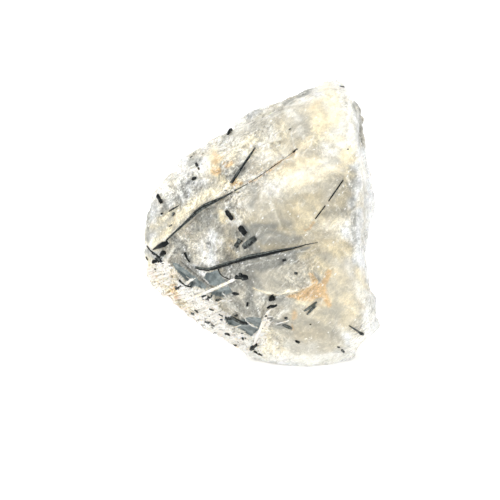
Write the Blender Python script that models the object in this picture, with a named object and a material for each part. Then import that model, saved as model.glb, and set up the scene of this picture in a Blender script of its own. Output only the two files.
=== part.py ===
"""A rough moonstone: one broken lump of milky feldspar that stands on a small flat break.

Run with: blender --background --python part.py
Metres, +Z up. The stone's show face looks along -Y, and the origin is under the middle of its
bounding box, on the surface that it stands on.

The lump is made as it broke. A blank with flat break faces spans the corners where three or more
breaks meet. Shell-shaped hollows are scooped from it, its surface splits into small flat patches
along the crystal's cleavage, and slabs stand proud along the cracks. The foot is a flat break. Black
tourmaline prisms that grew half sunk in the show face are joined to the stone, one solid with it.
"""

import bmesh
import bpy
import numpy as np
from mathutils import Matrix, Vector, bvhtree, kdtree, noise

MM = 0.001

# Mesh fineness
GRAIN = 0.5  # mm, spacing of the points that the breaks are carved on
FINISHED_GRAIN = 0.4  # mm, the same once they are carved
MOST_TRIANGLES = 7600  # of the stone, before the crystals are joined to it

# Corners of the blank, in mm from the show side: across to the right, up from the foot, and out
# towards the viewer from the plane of the outline.
TOP = [
    (14.0, 59.4, -4),
    (16.2, 59.4, -4),
    (12.4, 58.2, 6),
    (17.6, 57.2, 7),
]
RIGHT_EDGE = [
    (21.1, 52.7, -4),
    (21.0, 44.2, -8),
    (23.0, 28.2, -11),
    (25.4, 16.4, -7),
    (25.9, 10.4, -4),
    (24.4, 6.6, -2),
    (20.4, 4.0, 2),
]
LEFT_EDGE = [
    (-2.0, 2.6, 1),
    (-9.6, 5.4, 0),
    (-18.9, 11.8, 0),
    (-24.6, 16.7, 0),
    (-25.9, 21.9, 0),
    (-25.3, 31.3, 0),
    (-23.2, 36.6, 0),
    (-17.8, 41.8, -1),
    (-13.0, 45.8, -1),
    (-2.3, 53.2, -4),
    (3.9, 55.4, -5),
]
RIGHT_RIDGE = [
    (18.4, 56.0, 8),
    (18.9, 46.1, 13),
    (19.5, 40.6, 13.6),
    (19.4, 25.0, 14.5),
    (20.0, 19.6, 13.6),
    (22.0, 13.7, 10),
    (21.1, 6.9, 7.5),
]
SHOW_FACE = [
    (1.4, 38.9, 17),
    (-1.7, 27.9, 17),
    (11.2, 27.6, 18),
    (-4.1, 39.0, 14.6),
    (6.9, 46.4, 15.5),
    (-14.0, 21.1, 10),
    (-22.8, 24.0, 4),
    (-0.2, 50.2, 8.5),
    (-7.9, 45.5, 8),
    (-13.2, 42.4, 6),
    (-13.8, 17.3, 9),
    (-6.9, 13.8, 12.4),
    (-0.2, 12.0, 14.4),
    (17.2, 7.1, 10.5),
    (7.7, 7.6, 13),
]
BACK = [
    (16.0, 54.0, -8.0),
    (-4.0, 49.5, -7.5),
    (-13.0, 43.5, -8.5),
    (-20.0, 33.0, -11.7),
    (-20.5, 22.0, -14.0),
    (-7.0, 16.0, -19.5),
    (8.0, 15.0, -21.5),
    (18.5, 18.0, -21.8),
    (19.5, 34.0, -16.0),
]
BELOW = -3.0  # the blank runs on this far under the foot, which is then broken off flat
FOOT_EDGE = [
    (4.0, BELOW, 1.0),
    (6.5, BELOW, 3.5),
    (11.0, BELOW, 4.5),
    (15.0, BELOW, 1.5),
    (16.0, BELOW, -5),
    (11.0, BELOW, -9.5),
    (4.0, BELOW, -9),
    (2.4, BELOW, -4),
]

# Shell-shaped hollows: the middle of the ball that fits the hollow, and its radius, in mm.
HOLLOWS = {
    "under the bright roll": ((13.5, 34.4, 36.0), 21.6),
    "right flank": ((58.0, 22.0, -2.0), 36.6),
    "notch in the top left edge": ((-13.2, 55.0, 6.0), 8.6),
    "left cap": ((-27.0, 37.0, 14.0), 12.0),
    "short needle's pocket": ((-4.6, 43.4, 19.4), 7.8),
    "right of the top": ((33.0, 50.0, 4.0), 12.2),
    "lower left, under the crust": ((-24.0, 2.0, 16.0), 15.0),
    "back, upper": ((-2.0, 52.0, -66.0), 54.5),
    "back, low": ((4.0, -8.0, -34.0), 24.0),
}

UNEVEN = 0.8  # mm by which a hollow wanders from its ball
UNEVEN_SIZE = 0.13  # per mm, how often it wanders

# Slabs that stand proud along a crack on the show face. The line is across and up, in mm, and the
# slab is on its left as it is followed. A slab is highest at the crack and sinks into the face.
SLABS = {
    "upper slab, over the long needle": {
        "line": [(-23.4, 23.6), (-19.5, 26.9), (-13.2, 33.0), (-8.9, 36.5), (-4.2, 39.0), (1.0, 42.4)],
        "height": 1.3,
        "reach": 4.5,
    },
    "lower slab, under the lower needle": {
        "line": [(12.5, 28.2), (6.5, 26.7), (-1.0, 25.2), (-6.0, 23.7), (-12.0, 21.3)],
        "height": 1.1,
        "reach": 7.0,
    },
    "lip of the lower slab": {
        "line": [(-3.4, 21.2), (-1.6, 17.8), (0.6, 16.5), (4.6, 16.6), (8.6, 17.7), (12.5, 19.6)],
        "height": 1.2,
        "reach": 6.0,
    },
    "first crust step": {
        "line": [(-22.5, 21.3), (-17.6, 19.6), (-12.5, 15.4), (-8.6, 13.2)],
        "height": 0.9,
        "reach": 3.0,
    },
    "second crust step": {
        "line": [(-18.8, 15.6), (-12.6, 12.0), (-6.4, 9.6), (-2.6, 7.0)],
        "height": 0.9,
        "reach": 2.4,
    },
    "pale rib": {
        "line": [(-3.2, 2.0), (-1.4, 6.6), (0.6, 10.2), (2.0, 12.6)],
        "height": 1.1,
        "reach": 4.0,
    },
}
SLAB_WALL = 0.5  # mm over which a slab's edge rises
SLAB_ENDS = 0.16  # the part of a crack's length over which its slab rises, at each end
CRACK_WANDER = 0.5  # mm by which a crack wanders from its line
CRACK_WANDER_SIZE = 0.45  # per mm, how often it wanders
FACING = 0.25  # how far a surface must turn to the viewer to carry a slab

# Cleavage: the directions in which the crystal splits flat, and the sets of flat patches that its
# surface splits into, from large to small. Each set has how many patches, how far one may stand
# above or below the next, in mm, and how strongly its patches turn to the cleavage directions.
CLEAVAGE = [(0.30, -0.90, 0.32), (0.93, 0.34, 0.10), (-0.20, 0.26, 0.94)]
PATCHES = [
    {"count": 55, "step": 0.8, "turn": 0.22, "most": 2.2},
    {"count": 230, "step": 0.45, "turn": 0.30, "most": 1.1},
    {"count": 900, "step": 0.16, "turn": 0.34, "most": 0.45},
]
SUNK = 0.35  # how much further patches lie below the break than above it, as a part of their step
PROUDEST = 0.6  # the most that a patch stands above the break, as a part of its step
SMOOTH_BREAK = (12.0, 13.0, 12.0)  # middle of the smooth stretch low on the right of the show face
SMOOTH_WIDTH = 13.0  # mm
ROUGHEST = 1.25
SMOOTHEST = 0.3
ROUGHNESS_SIZE = 0.09  # per mm, how often the surface turns from smooth to rough
ROUGHNESS_CONTRAST = 1.1  # how sharply it does
SEED = 41

# Tourmaline crystals, black prisms grown half sunk in the show face. Each has the line that it
# follows, across and up in mm, and its thickness in mm at the start, the middle and the end.
CRYSTALS = {
    "long needle": {
        "line": [
            (-23.1, 24.4),
            (-19.4, 27.6),
            (-15.1, 31.7),
            (-10.9, 35.1),
            (-6.8, 37.9),
            (-3.3, 39.4),
            (1.0, 42.3),
        ],
        "thick": (1.2, 1.1, 0.6),
    },
    "lower needle": {
        "line": [(-13.9, 21.5), (-11.4, 21.6), (-6.8, 23.1), (-1.3, 25.2), (4.0, 26.3), (8.5, 27.4)],
        "thick": (1.0, 1.2, 0.6),
    },
    "short needle": {"line": [(-1.7, 46.3), (-4.1, 42.9), (-6.6, 39.5)], "thick": (0.6, 0.9, 1.1)},
    "crystal at the left tip": {"line": [(-22.6, 24.9), (-20.2, 26.2)], "thick": (1.6, 2.0, 1.4)},
    "upper middle crystal": {"line": [(-4.8, 30.8), (-3.5, 28.9)], "thick": (1.4, 1.9, 1.4)},
    "round middle crystal": {"line": [(-5.1, 27.8), (-4.7, 26.7)], "thick": (1.1, 1.4, 1.1)},
    "lower middle crystal": {"line": [(-3.6, 26.9), (-1.8, 28.9)], "thick": (1.6, 1.8, 1.4)},
    "crystal under the lower needle": {"line": [(-5.9, 20.5), (-2.9, 20.9)], "thick": (1.4, 1.8, 1.4)},
    "crystal by the long needle": {"line": [(-7.6, 33.8), (-6.4, 31.7)], "thick": (0.8, 1.3, 0.8)},
}
PROUD = 0.35  # how much of its thickness a crystal stands out of the stone
CRYSTAL_STEP = 1.6  # mm between the places where a crystal is set on the surface
IN_FRONT = -99.0  # mm along Y, a place in front of the whole stone

# Lumps over the whole stone: height in mm and size, per mm.
LUMPS = [(0.55, 0.075), (0.16, 0.26)]

# Where in the noise the roughness and the lumps are read, so that they don't follow each other.
ROUGHNESS_READ_AT = 3.1
LUMPS_READ_AT = 7.3

SAME_PLACE = 1e-4  # mm, points closer than this are one point


def clear_scene():
    for old in list(bpy.data.objects):
        bpy.data.objects.remove(old)


def corner(across, up, out):
    """A point in mm, in the stone's own axes, from a corner as the show side gives it."""
    return Vector((across, -out, up))


def blank_mesh():
    """The blank: flat breaks stretched over all the corners."""
    bm = bmesh.new()
    for place in TOP + RIGHT_EDGE + LEFT_EDGE + RIGHT_RIDGE + SHOW_FACE + BACK + FOOT_EDGE:
        bm.verts.new(corner(*place))
    hull = bmesh.ops.convex_hull(bm, input=bm.verts)
    inner = [v for v in hull["geom_interior"] if isinstance(v, bmesh.types.BMVert)]
    bmesh.ops.delete(bm, geom=inner, context="VERTS")
    bmesh.ops.recalc_face_normals(bm, faces=bm.faces)
    mesh = bpy.data.meshes.new("blank")
    bm.to_mesh(mesh)
    bm.free()
    return mesh


def as_object(data, name):
    made = bpy.data.objects.new(name, data)
    bpy.context.scene.collection.objects.link(made)
    return made


def finished_mesh(holder):
    """A new mesh of an object as its modifiers or its curve settings leave it; the object goes."""
    graph = bpy.context.evaluated_depsgraph_get()
    made = bpy.data.meshes.new_from_object(holder.evaluated_get(graph))
    bpy.data.objects.remove(holder)
    return made


def with_modifier(mesh, kind, **settings):
    """A new mesh: the given one with one modifier applied."""
    holder = as_object(mesh, "holder")
    modifier = holder.modifiers.new(kind.lower(), kind)
    for name, value in settings.items():
        setattr(modifier, name, value)
    return finished_mesh(holder)


def points_of(mesh):
    points = np.empty(len(mesh.vertices) * 3, np.float32)
    mesh.vertices.foreach_get("co", points)
    return points.reshape(-1, 3).astype(float)


def normals_of(mesh):
    normals = np.empty(len(mesh.vertices) * 3, np.float32)
    mesh.vertex_normals.foreach_get("vector", normals)
    return normals.reshape(-1, 3).astype(float)


def move_to(mesh, points):
    mesh.vertices.foreach_set("co", points.astype(np.float32).ravel())
    mesh.update()


def smooth_step(x):
    x = np.clip(x, 0.0, 1.0)
    return x * x * (3.0 - 2.0 * x)


def noise_at(points, scale, shift):
    """Smooth noise from -1 to 1 at each point."""
    offset = Vector((shift, -2.0 * shift, 3.0 * shift))
    return np.array([noise.noise(Vector(p) * scale + offset) for p in points])


def scoop(mesh, middle, radius):
    """Pushes the surface inside a ball back to the ball, as a shell-shaped break does."""
    points = points_of(mesh)
    centre = np.array(corner(*middle))
    away = points - centre
    far = np.linalg.norm(away, axis=1)
    reach = radius + UNEVEN * noise_at(points, UNEVEN_SIZE, radius)
    inside = far < reach
    points[inside] = centre + away[inside] * (reach / far)[inside, None]
    move_to(mesh, points)


def side_of_line(flat, line):
    """For points across and up: distance to the line, plus on its left, and the place along it, 0 to 1."""
    line = np.array(line)
    lengths = np.linalg.norm(np.diff(line, axis=0), axis=1)
    starts = np.concatenate([[0.0], np.cumsum(lengths)])
    best = np.full(len(flat), np.inf)
    side = np.zeros(len(flat))
    along = np.zeros(len(flat))
    for a, b, start, length in zip(line[:-1], line[1:], starts, lengths):
        run = (b - a) / length
        t = np.clip((flat - a) @ run, 0.0, length)
        gap = flat - a - t[:, None] * run
        away = np.linalg.norm(gap, axis=1)
        cross = run[0] * gap[:, 1] - run[1] * gap[:, 0]
        nearer = away < best
        best[nearer] = away[nearer]
        side[nearer] = np.sign(cross[nearer])
        along[nearer] = (start + t[nearer]) / starts[-1]
    return best * side, along


def raise_slab(mesh, line, height, reach):
    """Leaves a slab proud on the left of a crack, highest at the crack."""
    points = points_of(mesh)
    facing = smooth_step((-normals_of(mesh)[:, 1] - FACING) / FACING)
    wander = CRACK_WANDER * noise_at(points, CRACK_WANDER_SIZE, height)
    away, along = side_of_line(points[:, [0, 2]], line)
    away = away + wander
    ends = smooth_step(np.minimum(along, 1.0 - along) / SLAB_ENDS)
    rise = smooth_step(away / SLAB_WALL) * np.exp(-np.maximum(away, 0.0) / reach)
    points[:, 1] -= height * rise * ends * facing
    move_to(mesh, points)


def roughness_at(points):
    """How broken up the surface is at each point: it varies, and one stretch of it is smooth."""
    far = np.linalg.norm(points - np.array(corner(*SMOOTH_BREAK)), axis=1)
    noisy = noise_at(points, ROUGHNESS_SIZE, ROUGHNESS_READ_AT)
    varied = SMOOTHEST + (ROUGHEST - SMOOTHEST) * smooth_step(0.5 + ROUGHNESS_CONTRAST * noisy)
    return varied * (1.0 - (1.0 - SMOOTHEST) * np.exp(-((far / SMOOTH_WIDTH) ** 2)))


def split_into_patches(mesh, rng, count, step, turn, most):
    """Flattens the surface patch by patch, each patch with a height of its own, as cleavage does."""
    points = points_of(mesh)
    normals = normals_of(mesh)
    seats = rng.integers(len(points), size=count)
    rough = roughness_at(points[seats])
    planes = np.array(CLEAVAGE)
    planes /= np.linalg.norm(planes, axis=1)[:, None]
    along = normals[seats] @ planes.T
    nearest_plane = np.abs(along).argmax(axis=1)
    rows = np.arange(count)
    facing = planes[nearest_plane] * np.sign(along[rows, nearest_plane])[:, None]
    axes = normals[seats] + facing * (turn * rough * rng.uniform(0.0, 2.0, size=count))[:, None]
    axes /= np.linalg.norm(axes, axis=1)[:, None]
    heights = step * rough * (rng.uniform(-1.0, 1.0, size=count) - SUNK)
    tree = kdtree.KDTree(count)
    for number, seat in enumerate(seats):
        tree.insert(points[seat], number)
    tree.balance()
    patch = np.array([tree.find(point)[1] for point in points])
    drop = ((points[seats[patch]] - points) * axes[patch]).sum(axis=1) + heights[patch]
    drop = np.clip(drop, -most * rough[patch], PROUDEST * step * rough[patch])
    move_to(mesh, points + axes[patch] * drop[:, None])


def swell(mesh, height, scale):
    """Lumps and dips along the surface's own direction."""
    points = points_of(mesh)
    move_to(mesh, points + normals_of(mesh) * (height * noise_at(points, scale, LUMPS_READ_AT))[:, None])


def break_foot(mesh):
    """Breaks the foot off flat at height 0 and centres the stone over the origin."""
    bm = bmesh.new()
    bm.from_mesh(mesh)
    everything = bm.verts[:] + bm.edges[:] + bm.faces[:]
    cut = bmesh.ops.bisect_plane(
        bm, geom=everything, plane_co=(0, 0, 0), plane_no=(0, 0, -1), clear_outer=True, dist=SAME_PLACE
    )
    rim = [e for e in cut["geom_cut"] if isinstance(e, bmesh.types.BMEdge)]
    bmesh.ops.edgeloop_fill(bm, edges=rim)
    bmesh.ops.triangulate(bm, faces=bm.faces)
    bmesh.ops.recalc_face_normals(bm, faces=bm.faces)
    for axis in (0, 1):
        places = [v.co[axis] for v in bm.verts]
        shift = Vector((0, 0, 0))
        shift[axis] = -(min(places) + max(places)) / 2
        bmesh.ops.translate(bm, vec=shift, verts=bm.verts)
    bm.to_mesh(mesh)
    bm.free()


def depth_at(surface, across, up):
    """The y of the show face at a place, seen from straight in front."""
    return surface.ray_cast(Vector((across, IN_FRONT, up)), Vector((0.0, 1.0, 0.0)))[0].y


def crystal_prism(surface, line, thick):
    """A six-sided prism, thinner or thicker along its line, half sunk in the show face."""
    line = np.array(line)
    lengths = np.linalg.norm(np.diff(line, axis=0), axis=1)
    starts = np.concatenate([[0.0], np.cumsum(lengths)])
    places = np.linspace(0.0, starts[-1], max(3, round(starts[-1] / CRYSTAL_STEP) + 1))
    across = np.interp(places, starts, line[:, 0])
    up = np.interp(places, starts, line[:, 1])
    radii = np.interp(places / starts[-1], (0.0, 0.5, 1.0), thick) / 2
    path = bpy.data.curves.new("crystal", "CURVE")
    path.dimensions = "3D"
    path.bevel_depth = 1.0
    path.bevel_resolution = 1
    path.use_fill_caps = True
    spline = path.splines.new("POLY")
    spline.points.add(len(places) - 1)
    for point, x, z, radius in zip(spline.points, across, up, radii):
        sunk = radius * (1.0 - 2.0 * PROUD)
        point.co = (x, depth_at(surface, x, z) + sunk, z, 1.0)
        point.radius = radius
    prism = finished_mesh(as_object(path, "crystal"))
    bm = bmesh.new()
    bm.from_mesh(prism)
    bmesh.ops.remove_doubles(bm, verts=bm.verts, dist=SAME_PLACE)
    bmesh.ops.recalc_face_normals(bm, faces=bm.faces)
    bm.to_mesh(prism)
    bm.free()
    return prism


def grow_crystals(mesh):
    """Joins the crystals to the stone."""
    bm = bmesh.new()
    bm.from_mesh(mesh)
    surface = bvhtree.BVHTree.FromBMesh(bm)
    bm.free()
    for crystal in CRYSTALS.values():
        prism = as_object(crystal_prism(surface, **crystal), "prism")
        mesh = with_modifier(mesh, "BOOLEAN", operation="UNION", solver="EXACT", object=prism)
        bpy.data.objects.remove(prism)
    return mesh


def moonstone_material():
    material = bpy.data.materials.new("moonstone")
    material.use_nodes = True
    shader = material.node_tree.nodes["Principled BSDF"]
    shader.inputs["Base Color"].default_value = (0.62, 0.58, 0.50, 1.0)
    shader.inputs["Roughness"].default_value = 0.42
    shader.inputs["Metallic"].default_value = 0.0
    return material


def moonstone():
    rng = np.random.default_rng(SEED)
    mesh = with_modifier(blank_mesh(), "REMESH", mode="VOXEL", voxel_size=GRAIN)
    for middle, radius in HOLLOWS.values():
        scoop(mesh, middle, radius)
    for height, scale in LUMPS:
        swell(mesh, height, scale)
    for patches in PATCHES:
        split_into_patches(mesh, rng, **patches)
    for slab in SLABS.values():
        raise_slab(mesh, **slab)
    mesh = with_modifier(mesh, "REMESH", mode="VOXEL", voxel_size=FINISHED_GRAIN)
    triangles = sum(len(face.vertices) - 2 for face in mesh.polygons)
    mesh = with_modifier(mesh, "DECIMATE", ratio=MOST_TRIANGLES / triangles)
    break_foot(mesh)
    mesh = grow_crystals(mesh)
    mesh.transform(Matrix.Scale(MM, 4))
    mesh.materials.clear()
    mesh.materials.append(moonstone_material())
    return as_object(mesh, "moonstone")


clear_scene()
moonstone()
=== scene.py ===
import math

import bmesh
import bpy
import numpy as np
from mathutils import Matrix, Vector, bvhtree, kdtree, noise


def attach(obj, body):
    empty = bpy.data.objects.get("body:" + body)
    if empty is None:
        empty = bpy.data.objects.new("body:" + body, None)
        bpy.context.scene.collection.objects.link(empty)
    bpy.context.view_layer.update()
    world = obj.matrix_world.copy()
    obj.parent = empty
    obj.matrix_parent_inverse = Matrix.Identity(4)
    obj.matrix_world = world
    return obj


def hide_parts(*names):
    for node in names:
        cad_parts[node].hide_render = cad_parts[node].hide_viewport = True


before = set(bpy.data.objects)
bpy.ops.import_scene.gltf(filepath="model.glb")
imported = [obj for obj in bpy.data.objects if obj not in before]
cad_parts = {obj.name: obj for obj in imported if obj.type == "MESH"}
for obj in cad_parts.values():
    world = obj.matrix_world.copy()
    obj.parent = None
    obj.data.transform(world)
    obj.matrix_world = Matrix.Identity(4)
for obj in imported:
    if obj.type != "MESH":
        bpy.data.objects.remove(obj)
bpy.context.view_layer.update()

# The view
# The stone is looked at a little from above, straight at its show face, through a long lens. Places on
# the show face are named below by the pixel of the 500 x 500 photograph at which they are seen.
MM = 0.001
PHOTO = 500
LENS = 150.0
SENSOR = 36.0
LOOK_DOWN = math.radians(8.0)
EYE_AWAY = 443.0
LOOKED_AT = np.array([-2.7, 0.0, 23.6])
PIXELS_AWAY = PHOTO * LENS / SENSOR
PER_MM = PIXELS_AWAY / EYE_AWAY
ahead = np.array([0.0, math.cos(LOOK_DOWN), -math.sin(LOOK_DOWN)])
above = np.array([0.0, math.sin(LOOK_DOWN), math.cos(LOOK_DOWN)])
rightward = np.array([1.0, 0.0, 0.0])
eye = LOOKED_AT - ahead * EYE_AWAY


def pixels_of(points):
    """The pixel at which each point, in mm, is seen."""
    away = points - eye
    far = away @ ahead
    across = PHOTO / 2 + PIXELS_AWAY * (away @ rightward) / far
    down = PHOTO / 2 - PIXELS_AWAY * (away @ above) / far
    return np.stack([across, down], axis=1)


def sight_through(pixel):
    """The direction from the eye through a pixel."""
    across = (pixel[0] - PHOTO / 2) / PIXELS_AWAY
    down = (PHOTO / 2 - pixel[1]) / PIXELS_AWAY
    return Vector(ahead + rightward * across + above * down).normalized()


view = bpy.data.cameras.new("view")
view.lens = LENS
view.sensor_width = SENSOR
view.clip_start = 0.01
viewer = bpy.data.objects.new("view", view)
viewer.location = Vector(eye) * MM
viewer.rotation_euler = (math.radians(90.0) - LOOK_DOWN, 0.0, 0.0)
bpy.context.scene.collection.objects.link(viewer)
bpy.context.scene.camera = viewer

# The broken lump
# One lump of milky feldspar. Its form is the solid's. Its surface is finer: it splits into ever smaller
# flat flakes along the crystal's cleavage, and cracks and slate plates cross the show face.
GRAIN = 0.345
CLEAVAGE = np.array([(0.30, -0.90, 0.32), (0.93, 0.34, 0.10), (-0.20, 0.26, 0.94)])
FLAKES = [
    {"count": 2200, "step": 0.08, "turn": 0.30, "most": 0.22},
    {"count": 9000, "step": 0.045, "turn": 0.36, "most": 0.10},
]
# Sugary places on the show face: the middle and how far they reach, in pixels.
SUGARY_PLACES = [((195, 238), 26), ((232, 190), 14), ((176, 195), 24), ((235, 175), 18), ((245, 300), 18)]
# Ledges of the crust: how they turn from level in the view, their size in pixels and height in mm.
LEDGE_TURN = math.radians(16.0)
LEDGE_LONG = 14.0
LEDGE_THICK = 2.6
LEDGE_HIGH = 0.24
# Smooth places on the show face: the middle and how far they reach, in pixels.
SMOOTH_PLACES = [((315, 338), 34), ((342, 275), 24), ((315, 195), 28), ((330, 245), 16), ((328, 115), 24),
                 ((305, 165), 22), ((340, 160), 16), ((340, 310), 22), ((285, 215), 22), ((272, 236), 16),
                 ((262, 278), 18), ((213, 159), 9), ((256, 202), 16)]
SMOOTHEST = 0.15
# Slate plates: flat dark breaks a little below the surface around them, by their outline.
PLATES = [
    [(172, 262), (179, 262), (190, 271), (207, 284), (206, 289), (199, 288), (190, 287), (179, 276),
     (175, 270)],
    [(206, 273), (212, 272), (218, 269), (221, 276), (226, 281), (216, 286), (209, 284), (204, 278)],
    [(208, 297), (213, 291), (228, 284), (233, 293), (223, 298), (217, 298), (213, 295)],
    [(222, 318), (231, 315), (239, 320), (249, 317), (262, 317), (261, 328), (255, 333), (251, 337),
     (243, 331), (234, 327), (227, 325)],
]
PLATE_SUNK = 0.12
# Cracks and creases: the line followed, how wide in pixels and how deep in mm.
CRACKS = [
    ([(181, 262), (192, 271.5), (208, 285), (214, 289)], 0.8, 0.3),
    ([(178, 280), (185, 285), (192, 287)], 1.0, 0.3),
    ([(198, 272), (212, 274), (228, 269), (245, 264), (265, 259), (290, 253)], 1.2, 0.12),
    ([(254, 290), (262, 295), (272, 297), (284, 296), (297, 293)], 1.5, 0.45),
    ([(258, 175), (277, 163), (295, 150)], 0.9, 0.2),
    ([(266, 300), (262, 318), (252, 338)], 1.5, 0.3),
    ([(205, 255), (212, 262), (225, 262), (240, 256)], 1.5, 0.2),
    ([(237, 172), (247, 165), (255, 152)], 4.0, 0.5),
    ([(262, 234), (274, 231), (290, 236), (300, 240)], 1.2, 0.10),
    ([(326, 301), (345, 308), (360, 318)], 1.2, 0.15),
]
# The crust: splintery white and orange feldspar along the lower left edge.
CRUST = [(147, 264), (156, 266), (163, 260), (170, 262), (177, 277), (192, 289), (206, 292), (212, 303),
         (222, 309), (228, 316), (226, 326), (242, 334), (250, 345), (256, 340), (264, 322), (269, 310),
         (270, 330), (262, 356), (225, 345), (190, 325), (160, 300), (144, 276)]
# How far the crust runs on around the edge to the hidden sides, in mm.
CRUST_RUNS_ON = 6.0
# Fissures of the hidden sides: how often they come, per mm, how wide and how deep, in mm.
FISSURE_SIZE = 0.055
FISSURE_WIDTH = 0.012
FISSURE_DEPTH = 0.3
# How squarely a place has to face the eye to be seen in full, as the cosine of its turn from it.
FACING = 0.22
# How rough the breaks are: the middle, the swing, and how often it changes, per mm.
ROUGHNESS = 0.65
ROUGHNESS_SWING = 0.6
ROUGHNESS_SIZE = 0.12
# How far the crust's edge strays from its outline, in pixels, and how often it does, per mm.
CRUST_STRAY = 4.0
STRAY_SIZE = 0.5
# The foot is left flat up to this height, in mm.
FOOT_HIGH = 0.4
rng = np.random.default_rng(5)


def finished_mesh(holder):
    graph = bpy.context.evaluated_depsgraph_get()
    made = bpy.data.meshes.new_from_object(holder.evaluated_get(graph))
    bpy.data.objects.remove(holder)
    return made


def in_scene(name, data):
    made = bpy.data.objects.new(name, data)
    bpy.context.scene.collection.objects.link(made)
    return made


def points_of(mesh):
    points = np.empty(len(mesh.vertices) * 3, np.float32)
    mesh.vertices.foreach_get("co", points)
    return points.reshape(-1, 3).astype(float) / MM


def normals_of(mesh):
    normals = np.empty(len(mesh.vertices) * 3, np.float32)
    mesh.vertex_normals.foreach_get("vector", normals)
    return normals.reshape(-1, 3).astype(float)


def move_to(mesh, points):
    mesh.vertices.foreach_set("co", (points * MM).astype(np.float32).ravel())
    mesh.update()


def smooth_step(x):
    x = np.clip(x, 0.0, 1.0)
    return x * x * (3.0 - 2.0 * x)


def noise_at(points, scale, shift):
    """Smooth noise from about -1 to 1 at each point. Patterns with other shifts don't follow each other."""
    offset = Vector((shift, -2.0 * shift, 3.0 * shift))
    return np.array([noise.noise(Vector(p) * scale + offset) for p in points])


def line_gap(pixels, line):
    """How far each pixel is from a line through pixels, in pixels."""
    line = np.array(line, float)
    gap = np.full(len(pixels), np.inf)
    for a, b in zip(line[:-1], line[1:]):
        run = b - a
        t = np.clip((pixels - a) @ run / (run @ run), 0.0, 1.0)
        gap = np.minimum(gap, np.linalg.norm(pixels - a - t[:, None] * run, axis=1))
    return gap


def inside(pixels, outline):
    """How far each pixel is inside an outline through pixels, less than 0 outside."""
    crossings = np.zeros(len(pixels), int)
    for (ax, ay), (bx, by) in zip(outline, list(outline[1:]) + [outline[0]]):
        if ay == by:
            continue
        spans = (pixels[:, 1] >= min(ay, by)) & (pixels[:, 1] < max(ay, by))
        at = ax + (pixels[:, 1] - ay) * (bx - ax) / (by - ay)
        crossings += spans & (pixels[:, 0] < at)
    gap = line_gap(pixels, list(outline) + [outline[0]])
    return np.where(crossings % 2 == 1, gap, -gap)


def split_into_flakes(mesh, roughness, count, step, turn, most):
    """Flattens the surface flake by flake, each with a height and a tilt of its own."""
    points = points_of(mesh)
    normals = normals_of(mesh)
    seats = rng.integers(len(points), size=count)
    rough = roughness[seats]
    planes = CLEAVAGE / np.linalg.norm(CLEAVAGE, axis=1)[:, None]
    along = normals[seats] @ planes.T
    nearest_plane = np.abs(along).argmax(axis=1)
    rows = np.arange(count)
    facing = planes[nearest_plane] * np.sign(along[rows, nearest_plane])[:, None]
    axes = normals[seats] + facing * (turn * rough * rng.uniform(0.0, 2.0, size=count))[:, None]
    axes /= np.linalg.norm(axes, axis=1)[:, None]
    heights = step * rough * rng.uniform(-1.2, 0.8, size=count)
    places = kdtree.KDTree(count)
    for number, seat in enumerate(seats):
        places.insert(points[seat], number)
    places.balance()
    flake = np.array([places.find(point)[1] for point in points])
    drop = ((points[seats[flake]] - points) * axes[flake]).sum(axis=1) + heights[flake]
    drop = np.clip(drop, -most * rough[flake], most * rough[flake])
    on_foot = (points[:, 2] < FOOT_HIGH) & (normals[:, 2] < -0.5)
    drop[on_foot] = 0.0
    move_to(mesh, points + axes[flake] * drop[:, None])


def sink_plate(points, pixels, seen, outline, depth):
    """Flattens what lies inside an outline and sets it a little deeper."""
    within = np.flatnonzero((inside(pixels, outline) > 0.0) & (seen > 0.3))
    middle = points[within].mean(axis=0)
    flat = np.linalg.svd(points[within] - middle, full_matrices=False)[2][2]
    flat *= np.sign(-(flat @ ahead))
    height = (points[within] - middle) @ flat
    points[within] -= np.outer(0.8 * height + depth, flat)


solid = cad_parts["moonstone"].data.copy()
bm = bmesh.new()
bm.from_mesh(solid)
bmesh.ops.remove_doubles(bm, verts=bm.verts, dist=1e-6)
bm.to_mesh(solid)
bm.free()
holder = in_scene("holder", solid)
remesh = holder.modifiers.new("remesh", "REMESH")
remesh.mode = "VOXEL"
remesh.voxel_size = GRAIN * MM
lump_mesh = finished_mesh(holder)

points = points_of(lump_mesh)
pixels = pixels_of(points)
seen = smooth_step(-(normals_of(lump_mesh) @ ahead) / FACING + 0.1)
roughness = ROUGHNESS + ROUGHNESS_SWING * noise_at(points, ROUGHNESS_SIZE, 2.0)
roughness = np.clip(roughness, 0.1, 1.2)
for middle, reach in SMOOTH_PLACES:
    far = np.linalg.norm(pixels - np.array(middle), axis=1)
    roughness *= 1.0 - (1.0 - SMOOTHEST) * np.exp(-((far / reach) ** 2)) * seen
for flakes in FLAKES:
    split_into_flakes(lump_mesh, roughness, **flakes)
points = points_of(lump_mesh)
pixels = pixels_of(points)
for outline in PLATES:
    sink_plate(points, pixels, seen, outline, PLATE_SUNK)
outward = normals_of(lump_mesh)
wander = np.stack([noise_at(points, STRAY_SIZE, shift) for shift in (11.0, 17.0)], axis=1)
crust = smooth_step(inside(pixels + CRUST_STRAY * wander, CRUST) / 3.0 + 0.5) * seen
crusted = np.flatnonzero(crust > 0.5)
crust_places = kdtree.KDTree(len(crusted))
for number in crusted:
    crust_places.insert(points[number], number)
crust_places.balance()
from_crust = np.array([crust_places.find(point)[2] for point in points])
crust = np.maximum(crust, (1.0 - seen) * smooth_step(1.0 - from_crust / CRUST_RUNS_ON + 0.8 * wander[:, 0]))
along = pixels @ np.array([math.cos(LEDGE_TURN), -math.sin(LEDGE_TURN)]) / LEDGE_LONG
across = pixels @ np.array([math.sin(LEDGE_TURN), math.cos(LEDGE_TURN)]) / LEDGE_THICK
ledge = noise_at(np.stack([along, across, np.zeros(len(along))], axis=1), 1.0, 3.0)
points += outward * (LEDGE_HIGH * crust * np.clip(2.5 * ledge, -1.0, 0.6))[:, None]
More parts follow.
